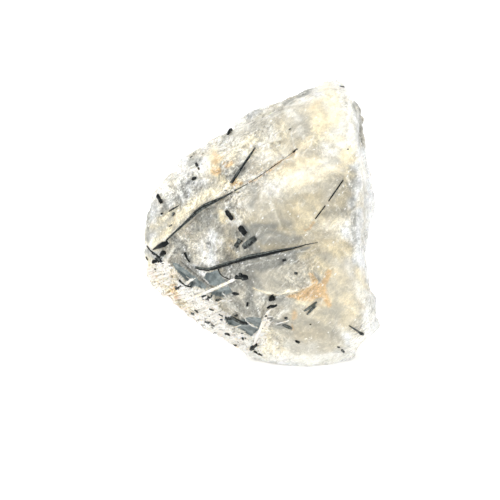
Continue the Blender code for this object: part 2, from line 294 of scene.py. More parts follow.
for line, width, depth in CRACKS:
    groove = depth * np.exp(-((line_gap(pixels, line) / width) ** 2)) * seen
    points -= outward * groove[:, None]
fissure = np.abs(noise_at(points, FISSURE_SIZE, 41.0))
open_here = (1.0 - seen) * smooth_step(0.5 + 2.0 * noise_at(points, 0.1, 43.0))
points -= outward * (FISSURE_DEPTH * np.exp(-((fissure / FISSURE_WIDTH) ** 2)) * open_here)[:, None]
points[:, 2] = np.maximum(points[:, 2], 0.0)
move_to(lump_mesh, points)

# The stains and clearings of the lump, and the light and shade painted on it
# The feldspar is milky, with grey, smoky and cream places, white frost and orange iron stain. Some strokes
# paint light and shade instead: painted shade under the lip, under the long lower crystal, in the hollow
# and on the top right side facet, a painted highlight along the lip, and painted light along the underside
# near the foot. Each stroke on the show face has the line it follows, how far it reaches to its sides and
# how strong it is, from the top of the stone to its foot. The sides and the back, which no pixel shows,
# have clouds of these kinds.
STROKES = {
    "white": [
        ([(315, 84), (330, 79), (345, 84), (346, 92)], 8, 1.1), ([(340, 92), (344, 108)], 4, 0.8),
        ([(350, 97), (350, 125), (350, 150)], 4, 1.0), ([(296, 102), (304, 98)], 4, 0.6),
        ([(300, 101), (312, 99)], 5, 0.8), ([(330, 100), (338, 120), (340, 135)], 9, 0.9),
        ([(282, 104), (298, 104)], 4, 0.6), ([(262, 111), (268, 106)], 4, 0.5),
        ([(356, 106), (360, 112)], 4, 0.4), ([(288, 111), (299, 119)], 5, 0.6),
        ([(262, 118), (275, 112)], 4, 0.5), ([(232, 127), (242, 122)], 5, 0.6),
        ([(236, 130), (248, 126)], 5, 0.6), ([(270, 126), (272, 132)], 4, 0.6),
        ([(222, 132), (232, 128)], 4, 0.6), ([(300, 130), (303, 137)], 4, 0.6),
        ([(270, 138), (282, 148)], 7, 0.5), ([(324, 143), (335, 138), (345, 145)], 7, 0.9),
        ([(205, 148), (218, 143), (228, 139)], 6, 0.9), ([(226, 145), (240, 140)], 6, 0.5),
        ([(230, 144), (250, 144)], 5, 0.5), ([(258, 144), (268, 146)], 4, 0.7),
        ([(220, 146), (226, 152)], 4, 0.7), ([(222, 148), (232, 150)], 4, 0.8),
        ([(212, 158), (225, 150)], 6, 0.5), ([(240, 150), (250, 158)], 5, 0.6),
        ([(326, 152), (342, 154)], 5, 0.8), ([(255, 156), (285, 155)], 6, 0.6),
        ([(330, 163), (346, 157)], 6, 0.5), ([(206, 158), (212, 168)], 4, 0.7),
        ([(240, 160), (247, 164)], 4, 0.6), ([(362, 160), (364, 175)], 5, 0.8),
        ([(176, 172), (190, 166), (200, 170)], 6, 0.9),
        ([(270, 190), (280, 184), (294, 179), (312, 172), (326, 166)], 9, 1.0),
        ([(250, 182), (262, 174)], 3, 0.9), ([(180, 178), (190, 176)], 4, 0.9),
        ([(160, 186), (170, 178)], 5, 0.6), ([(236, 193), (250, 186), (262, 178)], 3, 0.6),
        ([(245, 192), (262, 182)], 3, 0.4), ([(246, 182), (256, 192)], 4, 0.6),
        ([(216, 193), (230, 184)], 3, 0.7), ([(240, 189), (250, 184)], 2.5, 0.8),
        ([(304, 188), (314, 190)], 5, 0.4), ([(152, 196), (170, 192)], 6, 0.7),
        ([(240, 206), (250, 198)], 4, 0.4), ([(246, 204), (252, 208)], 4, 0.5),
        ([(240, 205), (250, 209)], 4, 0.5), ([(232, 210), (238, 218)], 4, 0.5),
        ([(230, 221), (240, 223)], 5, 0.7), ([(236, 222), (242, 226)], 4, 0.8),
        ([(326, 226), (338, 222), (350, 222)], 6, 0.6), ([(188, 230), (195, 228)], 5, 0.5),
        ([(220, 238), (224, 246)], 4, 0.5), ([(264, 242), (270, 239)], 1.5, 0.8),
        ([(148, 246), (160, 240)], 5, 0.8), ([(203, 240), (207, 250), (204, 260)], 4, 0.5),
        ([(220, 240), (222, 256)], 4, 0.7), ([(158, 254), (174, 254)], 4, 0.6),
        ([(347, 255), (352, 275)], 5, 0.5), ([(358, 284), (361, 298)], 5, 0.6),
        # Painted highlight along the upper edge of the lip.
        ([(252, 288), (262, 292.3), (272, 294.2), (284, 293.2), (296, 290)], 1.1, 1.0),
        ([(368, 290), (372, 315), (366, 330)], 5, 0.6), ([(258, 292), (266, 299)], 3, 0.8),
        ([(224, 302), (234, 308)], 5, 0.5), ([(258, 305), (263, 302)], 3, 0.6),
        ([(300, 308), (312, 303)], 5, 0.3), ([(278, 316), (287, 309)], 3, 0.8),
        ([(348, 318), (354, 322)], 4, 0.4), ([(338, 325), (345, 335)], 6, 0.4),
        ([(242, 336), (250, 344)], 5, 0.9),
        # Painted light: these lighten the underside along the foot, and the stone beside the crystal at the
        # foot.
        ([(262, 356), (285, 356), (310, 361), (335, 359), (352, 350), (364, 336)], 7, 0.85),
        ([(256, 338), (262, 349)], 4, 1.0), ([(240, 345), (258, 352), (272, 345)], 8, 0.9),
    ],
    "grey": [
        ([(299, 96), (308, 90), (314, 88)], 3.5, 0.7), ([(285, 103), (292, 100)], 3, 0.8),
        # Partly grey stone, partly painted shade on the top right side facet.
        ([(356, 104), (361, 115), (361, 128), (360, 144)], 4, 0.8),
        ([(246, 118), (254, 113), (262, 110)], 3, 0.6), ([(270, 115), (280, 110)], 5, 0.4),
        ([(312, 115), (318, 124)], 6, 0.35), ([(300, 118), (306, 128), (300, 142)], 6, 0.35),
        ([(352, 120), (356, 130)], 4, 0.5), ([(250, 128), (266, 124)], 7, 0.4),
        ([(280, 136), (292, 132)], 5, 0.4), ([(222, 138), (230, 134)], 4, 0.6),
        ([(282, 134), (292, 138)], 5, 0.4), ([(310, 144), (320, 142)], 4, 0.5),
        ([(206, 150), (212, 154)], 5, 0.4), ([(343, 153), (350, 160)], 5, 0.5),
        ([(190, 163), (197, 160)], 5, 0.6), ([(320, 165), (342, 160)], 5, 0.4),
        ([(228, 162), (230, 172)], 5, 0.5), ([(224, 166), (224, 178)], 5, 1.2),
        ([(226, 180), (236, 173), (243, 168)], 6, 0.9), ([(222, 170), (224, 176)], 5, 1.3),
        ([(350, 170), (354, 186)], 6, 0.7), ([(219, 180), (224, 184)], 4, 0.6),
        ([(192, 182), (196, 194)], 5, 0.6), ([(183, 184), (184, 190), (186, 195)], 5, 0.8),
        ([(264, 184), (270, 192)], 5, 0.4), ([(198, 190), (210, 186)], 4, 0.5),
        ([(255, 190), (252, 204)], 6, 0.6), ([(352, 198), (353, 222)], 4, 0.6),
        ([(182, 200), (170, 212), (158, 226), (148, 234)], 7, 0.6), ([(300, 202), (312, 212)], 6, 0.6),
        ([(300, 206), (312, 204)], 6, 0.4), ([(146, 205), (154, 206)], 5, 0.5),
        ([(147, 205), (149, 222), (148, 238)], 3.5, 0.8),
        ([(198, 228), (210, 220), (222, 212), (230, 206)], 6, 0.8), ([(264, 206), (270, 216)], 6, 0.4),
        ([(355, 206), (355, 224)], 3, 0.7), ([(303, 207), (314, 214)], 7, 0.8),
        ([(166, 208), (160, 222)], 6, 0.9), ([(198, 214), (215, 209)], 4, 0.8),
        ([(162, 214), (168, 210)], 4, 0.8), ([(204, 212), (222, 222)], 6, 0.5),
        ([(215, 212), (216, 230)], 7, 0.6), ([(300, 228), (320, 214), (345, 212)], 7, 0.45),
        ([(160, 215), (170, 228), (160, 236)], 8, 0.6), ([(200, 217), (222, 217)], 5, 1.0),
        ([(155, 218), (170, 227)], 7, 0.5), ([(250, 225), (262, 226), (276, 224), (300, 226)], 6, 0.5),
        ([(292, 230), (300, 224)], 5, 0.6), ([(252, 227), (276, 226)], 5, 0.9),
        ([(352, 226), (354, 238)], 3, 0.6), ([(243, 228), (250, 240)], 6, 1.2),
        ([(240, 232), (262, 230)], 5, 0.8), ([(236, 233), (250, 234), (270, 232), (286, 238)], 6, 0.8),
        ([(250, 237), (262, 235)], 5, 0.9), ([(236, 236), (258, 250)], 7, 0.4),
        ([(172, 238), (182, 246), (176, 250)], 5, 1.1), ([(174, 250), (180, 243), (186, 238)], 6, 0.5),
        ([(262, 240), (285, 242), (300, 238)], 5, 0.7), ([(210, 242), (214, 250)], 4, 0.6),
        ([(232, 246), (246, 252)], 6, 0.6), ([(232, 246), (238, 250)], 5, 0.8),
        ([(254, 246), (256, 254)], 6, 0.6), ([(246, 247), (256, 250)], 5, 0.9),
        # Painted shade under the long lower crystal.
        ([(225, 267), (245, 261.5), (265, 257.5), (290, 252.5), (308, 248)], 2.2, 1.0),
        ([(184, 250), (187, 262)], 6, 1.0), ([(147, 252), (152, 257), (154, 262)], 4, 0.7),
        ([(282, 254), (300, 252)], 6, 0.6), ([(320, 252), (328, 262)], 8, 0.4),
        ([(229, 256), (230, 284)], 5, 0.9), ([(246, 266), (262, 266), (280, 261), (292, 256)], 6, 1.2),
        ([(174, 262), (190, 258)], 5, 0.6), ([(232, 268), (245, 268), (262, 264), (290, 258)], 7, 0.9),
        ([(244, 260), (262, 258)], 4, 0.9), ([(282, 262), (296, 260)], 5, 0.8),
        ([(228, 262), (232, 280)], 6, 1.2), ([(186, 265), (200, 278), (210, 286)], 2.5, 1.2),
        ([(230, 268), (240, 272)], 5, 1.2), ([(276, 268), (290, 272)], 6, 0.5),
        ([(250, 272), (258, 286)], 7, 0.8), ([(316, 274), (318, 284)], 3, 0.8),
        ([(200, 276), (206, 279)], 3, 1.1), ([(226, 276), (236, 284)], 6, 1.2),
        ([(270, 280), (290, 285)], 8, 0.45), ([(300, 280), (312, 296)], 8, 0.4),
        ([(360, 280), (368, 284)], 6, 0.4), ([(248, 282), (252, 304)], 6, 1.1),
        ([(222, 292), (230, 294)], 5, 1.0), ([(300, 298), (312, 292)], 6, 0.5),
        # Painted shade under the lip.
        ([(278, 293), (284, 296)], 4, 0.8), ([(258, 298), (275, 299), (292, 297), (310, 298)], 4, 0.7),
        ([(314, 298), (326, 301), (322, 307)], 5, 0.7), ([(248, 300), (254, 308)], 5, 1.0),
        ([(278, 300), (290, 302)], 5, 0.5), ([(370, 300), (374, 312)], 5, 0.5),
        ([(375, 300), (378, 318)], 6, 0.4), ([(234, 303), (246, 312), (252, 304), (258, 318)], 8, 0.75),
        ([(318, 305), (328, 318)], 6, 0.4), ([(325, 305), (345, 318)], 8, 0.4),
        ([(318, 318), (330, 308)], 6, 0.3), ([(244, 320), (262, 320)], 4, 1.2),
        ([(250, 322), (266, 320), (282, 325)], 5, 1.2),
        ([(282, 322), (300, 320), (322, 325), (335, 335)], 6, 0.45), ([(256, 322), (278, 325)], 5, 0.8),
        ([(276, 326), (290, 330)], 6, 0.5), ([(230, 330), (236, 334)], 4, 0.9),
        ([(336, 351), (344, 350)], 4, 0.5),
    ],
    "smoky": [
        # Partly smoky stone, partly painted shade in the hollow below the bright band.
        ([(335, 207), (346, 194)], 9, 0.7), ([(292, 212), (300, 202), (315, 195)], 10, 0.9),
        ([(298, 208), (312, 206), (322, 212)], 7, 1.0), ([(298, 222), (302, 236)], 7, 1.1),
        ([(246, 226), (262, 227), (276, 230), (284, 233)], 8, 1.3), ([(318, 236), (330, 228)], 7, 0.6),
        ([(232, 244), (230, 256)], 7, 1.0), ([(262, 246), (280, 247), (300, 246)], 7, 1.1),
        ([(300, 252), (318, 247), (330, 246), (345, 250)], 9, 1.25), ([(316, 262), (326, 270)], 9, 0.9),
        ([(315, 276), (335, 300)], 12, 0.35), ([(300, 335), (320, 332)], 14, 0.5),
    ],
    "cream": [
        ([(325, 86), (335, 100), (330, 115)], 7, 0.7), ([(328, 98), (336, 112)], 7, 0.8),
        ([(334, 104), (337, 120)], 5, 0.9), ([(334, 105), (336, 124)], 6, 0.6),
        ([(315, 108), (320, 114), (318, 130), (328, 120)], 9, 0.8),
        ([(280, 125), (288, 140), (280, 150)], 7, 0.45), ([(300, 146), (318, 138)], 7, 0.6),
        ([(302, 144), (322, 138), (342, 140)], 5, 0.6), ([(212, 156), (232, 152), (252, 140)], 6, 0.6),
        ([(213, 150), (215, 163), (217, 172)], 6, 0.8), ([(344, 157), (350, 150)], 6, 1.0),
        ([(245, 152), (270, 153), (296, 152)], 6, 0.4), ([(292, 152), (298, 160)], 5, 0.6),
        ([(214, 156), (220, 160)], 5, 1.1), ([(346, 160), (352, 160)], 5, 0.8),
        ([(278, 176), (288, 171), (300, 165), (316, 162)], 8, 0.7), ([(345, 165), (350, 175)], 6, 0.5),
        ([(315, 170), (340, 168)], 5, 0.5), ([(290, 182), (310, 176), (328, 172)], 7, 0.6),
        ([(222, 180), (228, 188), (236, 184)], 5, 0.9), ([(296, 186), (312, 180)], 6, 0.6),
        ([(286, 190), (300, 184)], 6, 0.4),
        ([(154, 246), (166, 233), (176, 219), (190, 208), (205, 196), (225, 188)], 5.5, 0.75),
        ([(312, 200), (320, 210)], 6, 0.5), ([(300, 208), (312, 216), (300, 226)], 9, 0.7),
        ([(153, 228), (165, 217), (176, 209)], 5, 0.6), ([(240, 214), (262, 212), (280, 209)], 5, 0.3),
        ([(222, 213), (224, 220)], 4, 0.9), ([(322, 222), (340, 222)], 7, 0.5),
        ([(325, 245), (345, 252)], 8, 0.5), ([(148, 262), (160, 280), (176, 296), (192, 312)], 7, 0.8),
        ([(322, 266), (342, 280)], 10, 0.5), ([(360, 272), (364, 285)], 5, 0.6),
        ([(174, 274), (176, 296)], 4, 0.7),
        # Painted highlight along the upper edge of the lip, in cream.
        ([(252, 288), (262, 292.3), (272, 294.2), (284, 293.2), (296, 290)], 1.3, 0.9),
        ([(345, 298), (352, 310), (345, 322)], 8, 0.6), ([(300, 302), (318, 308), (330, 300)], 7, 0.6),
        ([(305, 310), (325, 318)], 9, 0.4), ([(262, 325), (270, 340), (264, 352)], 6, 0.7),
        ([(266, 350), (282, 351)], 5, 0.7),
    ],
    "iron": [
        ([(322, 99), (313, 108)], 3, 0.4),
        ([(250, 183.5), (262, 176), (277, 165.5), (294, 153)], 1.3, 0.9),
        ([(214, 154), (220, 158)], 4, 0.8), ([(215, 162), (220, 157)], 4, 0.9),
        ([(227, 165), (231, 163)], 3, 1.0), ([(282, 167), (290, 163)], 3, 0.4),
        ([(256, 173), (262, 169)], 2, 0.5), ([(215, 171), (219, 170)], 3.5, 1.3),
        ([(233, 184), (241, 184)], 2.5, 1.0),
        ([(156, 242), (170, 226), (186, 210), (205, 196)], 5, 0.16), ([(306, 231), (314, 222)], 2, 0.8),
        ([(232, 243), (229, 256)], 5, 0.32), ([(149, 268), (159, 286), (174, 300), (188, 312)], 6, 0.35),
        ([(168, 270), (174, 278)], 3, 0.4), ([(173, 272), (175, 286), (178, 298)], 4.5, 0.4),
        ([(173, 286), (176, 297)], 3.5, 0.9), ([(172, 290), (176, 292)], 2.5, 1.1),
        ([(300, 294), (322, 292)], 9, 0.35), ([(345, 305), (352, 300)], 6, 0.3),
        ([(308, 302), (322, 304)], 5, 0.45), ([(358, 302), (364, 308)], 4, 0.35),
        ([(293, 312), (294, 318)], 3.5, 0.8), ([(262, 320), (272, 324)], 5, 0.3),
        ([(339, 323), (341, 324)], 3, 0.4), ([(292, 325), (293, 328)], 2.5, 0.7),
    ],
    "pale": [
        ([(302, 92), (318, 88)], 5, 0.6), ([(318, 92), (330, 88)], 5, 0.8),
        ([(352, 95), (357, 120), (356, 150)], 5, 0.8), ([(235, 122), (262, 108)], 5, 0.9),
        ([(361, 150), (368, 165), (371, 195), (371, 230), (368, 262)], 7, 1.0),
        ([(184, 160), (186, 178), (184, 196)], 8, 1.0), ([(186, 172), (200, 162)], 8, 0.7),
        ([(356, 165), (358, 185), (352, 203)], 6, 1.0), ([(192, 182), (204, 184)], 6, 0.6),
        ([(163, 188), (172, 200), (160, 222)], 7, 0.6), ([(150, 190), (148, 215), (152, 236)], 6, 0.8),
        ([(152, 205), (156, 225)], 6, 0.9),
        ([(358, 212), (357, 245), (363, 264), (371, 290), (374, 315), (369, 336)], 6, 0.9),
        ([(355, 215), (352, 240), (356, 262)], 4, 0.8), ([(345, 225), (348, 250)], 6, 0.8),
        ([(212, 235), (212, 262)], 7, 0.8), ([(262, 236), (285, 238)], 5, 0.4),
        ([(200, 245), (206, 264)], 7, 0.5), ([(147, 252), (156, 260)], 6, 1.2),
        ([(193, 267), (205, 274)], 4, 0.9), ([(372, 275), (374, 300), (372, 325)], 9, 1.0),
        ([(275, 300), (290, 302)], 6, 0.4), ([(346, 335), (353, 350)], 5, 0.9),
        ([(288, 346), (312, 348)], 9, 0.4), ([(240, 352), (256, 356)], 5, 1.0),
        # Painted light: lighter along the rim of the foot, as light from below would make it.
        ([(316, 357), (345, 354)], 4, 0.8), ([(262, 358), (300, 362), (345, 358)], 5, 0.8),
        ([(262, 361), (310, 364), (350, 359)], 6, 1.3),
    ],
}
# The largest stain, a star of thin legs, by its outline.
IRON_STAR = [(310, 272), (313.5, 273), (316, 280), (318, 286), (321, 283), (324, 276), (328, 270),
             (331.5, 271), (328.5, 279), (326, 287), (326.5, 292), (329, 297), (332, 305), (329.5, 307),
             (325, 300), (322, 297.5), (316, 299), (309, 302.5), (301, 301), (295, 297.5), (287, 296.5),
             (295, 293), (303, 289.5), (310, 287), (313, 285), (311.5, 279)]
STAR_EDGE = 3.5
STAR_STRENGTH = 0.9
# How far stains and the star stray from their lines, in pixels.
STAIN_STRAY = 3.0
STAR_STRAY = 2.0
# The clouds of the hidden sides: how often they come, per mm, where in the noise they are read, and the
# noise at which they start and are full.
CLOUDS = {
    "white": (0.11, 21.0, -0.15, 0.45),
    "grey": (0.13, 23.0, 0.0, 0.7),
    "smoky": (0.08, 25.0, 0.1, 0.7),
    "cream": (0.10, 27.0, 0.05, 0.6),
    "iron": (0.16, 29.0, 0.35, 1.0),
    "pale": (0.09, 33.0, -0.15, 0.5),
}
# The iron that seeps out of the fissures: how far, in widths of a fissure, how strong, and its clouds.
SEEP_REACH = 5.0
SEEP_STRENGTH = 0.6
SEEP_CLOUDS = (0.2, 31.0, -0.2, 0.5)


def brushed(strokes, pixels):
    """How much of a tint the strokes leave at each pixel."""
    amount = np.zeros(len(pixels))
    for line, reach, strength in strokes:
        amount = np.maximum(amount, strength * np.exp(-((line_gap(pixels, line) / reach) ** 2)))
    return amount


def clouds(scale, shift, low, high):
    return smooth_step((noise_at(points, scale, shift) - low) / (high - low))


def bulge_of(mesh):
    """How far each vertex stands out from its neighbours, in mm, and less than 0 in a crease."""
    ends = np.empty(len(mesh.edges) * 2, np.int32)
    mesh.edges.foreach_get("vertices", ends)
    ends = ends.reshape(-1, 2)
    points = points_of(mesh)
    total = np.zeros_like(points)
    count = np.zeros(len(points))
    for near, far in ((ends[:, 0], ends[:, 1]), (ends[:, 1], ends[:, 0])):
        np.add.at(total, near, points[far])
        np.add.at(count, near, 1.0)
    return ((points - total / count[:, None]) * normals_of(mesh)).sum(axis=1)


points = points_of(lump_mesh)
exact = pixels_of(points)
strayed = exact + STAIN_STRAY * wander
sugary = np.zeros(len(points))
for middle, reach in SUGARY_PLACES:
    far = np.linalg.norm(exact - np.array(middle), axis=1)
    sugary = np.maximum(sugary, np.exp(-((far / reach) ** 2)) * seen)
slate = np.max([smooth_step(inside(exact, outline) + 0.5) for outline in PLATES], axis=0)
star = smooth_step(inside(exact + STAR_STRAY * wander, IRON_STAR) / STAR_EDGE + 0.7)
drawn = {name: brushed(strokes, strayed) for name, strokes in STROKES.items()}
drawn["iron"] = np.maximum(drawn["iron"], STAR_STRENGTH * star)
rusty = np.exp(-((fissure / (SEEP_REACH * FISSURE_WIDTH)) ** 2)) * open_here
cloudy = {name: clouds(*shape) for name, shape in CLOUDS.items()}
cloudy["iron"] = np.maximum(cloudy["iron"], SEEP_STRENGTH * rusty * clouds(*SEEP_CLOUDS))
tints = {name: seen * drawn[name] + (1 - seen) * cloudy[name] for name in STROKES}
tints["slate"] = seen * slate
tints["crust"] = crust
tints["bulge"] = bulge_of(lump_mesh) / GRAIN
tints["grainy"] = np.clip(roughness, 0.0, 1.0) * (0.6 + 0.4 * seen) + 0.5 * sugary + 0.5 * crust
for name, values in tints.items():
    layer = lump_mesh.attributes.new(name, "FLOAT", "POINT")
    layer.data.foreach_set("value", values.astype(np.float32))


def add(tree, kind, settings=None, inputs=None):
    """A new shader node, with its settings, and its inputs given as values or as links."""
    made = tree.nodes.new("ShaderNode" + kind)
    for name, value in (settings or {}).items():
        setattr(made, name, value)
    for name, value in (inputs or {}).items():
        if isinstance(value, bpy.types.NodeSocket):
            tree.links.new(value, made.inputs[name])
        else:
            made.inputs[name].default_value = value
    return made


def mixed(tree, amount, under, over):
    """One colour laid over another by an amount from 0 to 1."""
    made = add(tree, "Mix", {"data_type": "RGBA"}, {0: amount, 6: under, 7: over})
    return made.outputs[2]


def between(tree, value, low, high, start=0.0, end=1.0):
    """A start below a low value, an end above a high one, smooth in between."""
    made = add(tree, "MapRange", {"interpolation_type": "SMOOTHSTEP"},
               {0: value, 1: low, 2: high, 3: start, 4: end})
    return made.outputs[0]


def maths(tree, operation, first, second, third=0.0):
    return add(tree, "Math", {"operation": operation}, {0: first, 1: second, 2: third}).outputs[0]


def scaled(tree, colour, factor):
    """A colour made darker or lighter by a factor."""
    return add(tree, "VectorMath", {"operation": "SCALE"}, {0: colour, "Scale": factor}).outputs[0]


def shade(r, g, b):
    return (r, g, b, 1.0)


def in_millimetres(tree):
    place = add(tree, "TexCoord").outputs["Object"]
    return add(tree, "Mapping", None, {"Vector": place, "Scale": (1 / MM,) * 3}).outputs[0]


def grain_group():
    """Uneven grain through a mineral, as an amount from 0 to 1 and as a colour. Its scale is per mm."""
    group = bpy.data.node_groups.new("mineral_grain", "ShaderNodeTree")
    values = {"Scale": 1.0, "Detail": 2.0, "Roughness": 0.5, "Distortion": 0.0}
    for name, value in values.items():
        socket = group.interface.new_socket(name=name, in_out="INPUT", socket_type="NodeSocketFloat")
        socket.default_value = value
    group.interface.new_socket(name="Amount", in_out="OUTPUT", socket_type="NodeSocketFloat")
    group.interface.new_socket(name="Colour", in_out="OUTPUT", socket_type="NodeSocketColor")
    given = group.nodes.new("NodeGroupInput")
    grain = add(group, "TexNoise", None, {name: given.outputs[name] for name in values})
    group.links.new(in_millimetres(group), grain.inputs["Vector"])
    put_out = group.nodes.new("NodeGroupOutput")
    group.links.new(grain.outputs[0], put_out.inputs["Amount"])
    group.links.new(grain.outputs["Color"], put_out.inputs["Colour"])
    return group


mineral_grain = grain_group()


def grain_in(tree, **values):
    """The mineral grain, placed in a material with its own values."""
    return add(tree, "Group", {"node_tree": mineral_grain}, values).outputs


def drawn_out(tree, place, rise, long, wide):
    """Coordinates for features drawn out along a line that rises to the right, in degrees, sizes in mm."""
    return add(tree, "Mapping", {"vector_type": "TEXTURE"},
               {"Vector": place, "Rotation": (0.0, -math.radians(rise), 0.0),
                "Scale": (long, wide, wide)}).outputs[0]


# The tints that lie over the stone's own colour, from the deepest: how ragged the edge is, the amounts
# at which it starts and is full, how much it covers, and its colour.
LAYERS = [
    ("pale", 0.4, 0.0, 1.0, 1.0, (0.77, 0.785, 0.78)),
    ("smoky", 0.3, 0.0, 1.0, 1.0, (0.50, 0.445, 0.318)),
    ("white", 0.5, 0.0, 0.95, 1.0, (0.93, 0.91, 0.825)),
    ("grey", 0.6, 0.0, 1.0, 1.0, (0.278, 0.278, 0.247)),
    ("crust", 0.5, 0.3, 0.7, 1.0, (0.93, 0.89, 0.80)),
    ("cream", 0.4, 0.0, 1.0, 0.85, (0.93, 0.825, 0.58)),
    ("iron", 0.8, 0.1, 1.1, 0.85, (0.67, 0.455, 0.218)),
]
# The cleavage shows as streaks: how they rise to the right, in degrees, how long they are, in mm, and
# how white the feathers along them are.
STREAKS = [(50.0, 5.0, 0.55), (-42.0, 3.5, 0.35)]

stone_skin = bpy.data.materials.new("broken_feldspar")
stone_skin.use_nodes = True
tree = stone_skin.node_tree
surface = tree.nodes["Principled BSDF"]
swirl = grain_in(tree, Scale=0.6, Detail=3.0)["Colour"]
swirled = add(tree, "VectorMath", {"operation": "MULTIPLY_ADD"},
              {0: swirl, 1: (1.6,) * 3, 2: in_millimetres(tree)}).outputs[0]
cloud = grain_in(tree, Scale=0.16, Detail=4.0)["Amount"]
patch = grain_in(tree, Scale=0.5, Detail=2.0, Distortion=0.6)["Amount"]
sugar = grain_in(tree, Scale=1.9, Detail=5.0, Roughness=0.75)["Amount"]
crumb = grain_in(tree, Scale=4.5, Detail=1.0)["Amount"]
grainwise = drawn_out(tree, swirled, 50.0, 1.8, 1.0)
flake = add(tree, "TexVoronoi", None, {"Vector": grainwise, "Scale": 0.9})
fleck = add(tree, "TexVoronoi", None, {"Vector": grainwise, "Scale": 2.6})
streaks = [add(tree, "TexNoise", None, {"Vector": drawn_out(tree, swirled, rise, long, 0.7), "Scale": 1.0,
                                        "Detail": 4.0, "Roughness": 0.7}).outputs[0]
           for rise, long, _ in STREAKS]
flake_tone = add(tree, "SeparateColor", None, {0: flake.outputs["Color"]})
fleck_tone = add(tree, "SeparateColor", None, {0: fleck.outputs["Color"]})
amount = {name: add(tree, "Attribute", {"attribute_name": name}).outputs["Fac"] for name in tints}
breakup = maths(tree, "MULTIPLY_ADD", sugar, 0.6, maths(tree, "MULTIPLY", patch, 0.4))


def ragged(name, edge, low, high):
    """A tint's amount, broken up at its edge."""
    rough = maths(tree, "MULTIPLY_ADD", breakup, edge, -edge / 2)
    return between(tree, maths(tree, "ADD", amount[name], rough), low, high)


colour = mixed(tree, between(tree, cloud, 0.35, 0.65), shade(0.524, 0.491, 0.405),
               shade(0.614, 0.577, 0.470))
for name, edge, low, high, cover, tint in LAYERS:
    laid = maths(tree, "MULTIPLY", ragged(name, edge, low, high), cover)
    colour = mixed(tree, laid, colour, shade(*tint))
# What makes the surface uneven in tone: the pattern, from where to where it works, and how much.
uneven = [(fleck_tone.outputs[1], 0.0, 1.0, 0.17), (flake_tone.outputs[0], 0.0, 1.0, 0.10),
          (sugar, 0.3, 0.7, 0.17), (crumb, 0.35, 0.65, 0.14)]
uneven += [(streak, 0.35, 0.65, 0.12) for streak in streaks]
fine = 1.0
for pattern, low, high, swing in uneven:
    fine = maths(tree, "MULTIPLY", fine, between(tree, pattern, low, high, 1.0 - swing, 1.0 + swing))
coarseness = between(tree, amount["grainy"], 0.0, 1.5, 0.35, 1.8)
fine = maths(tree, "MULTIPLY_ADD", maths(tree, "SUBTRACT", fine, 1.0), coarseness, 1.0)
tone = maths(tree, "MULTIPLY", between(tree, patch, 0.3, 0.7, 0.93, 1.07), fine)
# Creases are made darker, down to 0.72 of the colour: painted shade.
tone = maths(tree, "MULTIPLY", tone, between(tree, amount["bulge"], -0.35, -0.03, 0.72, 1.0))
colour = scaled(tree, colour, tone)
frost = maths(tree, "MULTIPLY", between(tree, amount["bulge"], 0.04, 0.25), 0.4)
colour = mixed(tree, frost, colour, shade(0.92, 0.91, 0.87))
for streak, (_, _, whiteness) in zip(streaks, STREAKS):
    feather = maths(tree, "MULTIPLY", between(tree, streak, 0.60, 0.66), whiteness)
    feather = maths(tree, "MULTIPLY", feather, between(tree, amount["grainy"], 0.0, 0.8, 0.5, 1.0))
    colour = mixed(tree, feather, colour, shade(0.94, 0.93, 0.89))
rarity = between(tree, amount["grainy"], 0.2, 1.4, 0.96, 0.86)
glint = maths(tree, "MULTIPLY", maths(tree, "GREATER_THAN", fleck_tone.outputs[2], rarity),
              between(tree, fleck.outputs["Distance"], 0.5, 0.25))
colour = mixed(tree, maths(tree, "MULTIPLY", glint, 0.8), colour, shade(0.95, 0.95, 0.93))
slate_colour = mixed(tree, between(tree, patch, 0.35, 0.65), shade(0.10, 0.13, 0.135),
                     shade(0.245, 0.283, 0.28))
slate_colour = scaled(tree, slate_colour, between(tree, sugar, 0.3, 0.7, 0.8, 1.2))
colour = mixed(tree, ragged("slate", 0.5, 0.35, 0.65), colour, slate_colour)
tree.links.new(colour, surface.inputs["Base Color"])
surface.inputs["Roughness"].default_value = 0.38
surface.inputs["Subsurface Weight"].default_value = 0.7
surface.inputs["Subsurface Radius"].default_value = (1.0, 0.9, 0.75)
surface.inputs["Subsurface Scale"].default_value = 0.0025
# Each flake and fleck leans its own way, most of all where the stone is grainy.
tilt = add(tree, "VectorMath", {"operation": "MULTIPLY_ADD"},
           {0: flake.outputs["Color"], 1: (0.3,) * 3, 2: (-0.3,) * 3}).outputs[0]
fine_tilt = add(tree, "VectorMath", {"operation": "MULTIPLY_ADD"},
                {0: fleck.outputs["Color"], 1: (0.3,) * 3, 2: tilt}).outputs[0]
outward = add(tree, "NewGeometry").outputs["Normal"]
fine_tilt = scaled(tree, fine_tilt, between(tree, amount["grainy"], 0.1, 1.3, 0.15, 1.1))
leaning = add(tree, "VectorMath", {"operation": "ADD"}, {0: outward, 1: fine_tilt}).outputs[0]
leaning = add(tree, "VectorMath", {"operation": "NORMALIZE"}, {0: leaning}).outputs[0]
bump = add(tree, "Bump", None, {"Height": sugar, "Strength": 0.5, "Distance": 0.0003, "Normal": leaning})
tree.links.new(bump.outputs[0], surface.inputs["Normal"])

lump_mesh.materials.clear()
lump_mesh.materials.append(stone_skin)
lump_mesh.shade_smooth()
lump_mesh.set_sharp_from_angle(angle=math.radians(32.0))
lump = in_scene("broken_lump", lump_mesh)
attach(lump, "root")
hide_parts("moonstone")
